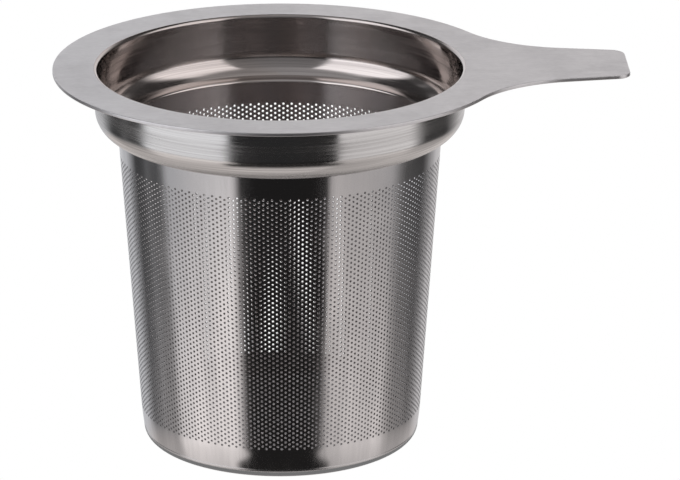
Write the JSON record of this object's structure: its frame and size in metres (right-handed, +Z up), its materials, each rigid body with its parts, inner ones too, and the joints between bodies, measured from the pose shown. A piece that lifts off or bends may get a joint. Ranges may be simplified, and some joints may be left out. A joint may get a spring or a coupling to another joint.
{
  "type": "tea strainer",
  "caption": "Mug tea strainer: a flat steel rim with a side handle, a rounded collar, a tapered finely perforated sleeve and a closed base.",
  "frame": {"origin": "centre of the base's underside, on the strainer's axis", "axes": "+Z up along the strainer's axis, +X along the handle"},
  "size_m": [0.1014, 0.08, 0.0686],
  "materials": {
    "rim_steel": "satin, fine even grain",
    "collar_steel": "brushed around, half bright",
    "sleeve_steel": "polished, with etched round holes",
    "base_steel": "polished"
  },
  "bodies": {
    "root": {"rim_plate": "rim_steel", "collar": "collar_steel", "filter_sleeve": "sleeve_steel", "base_cap": "base_steel"}
  },
  "joints": []
}
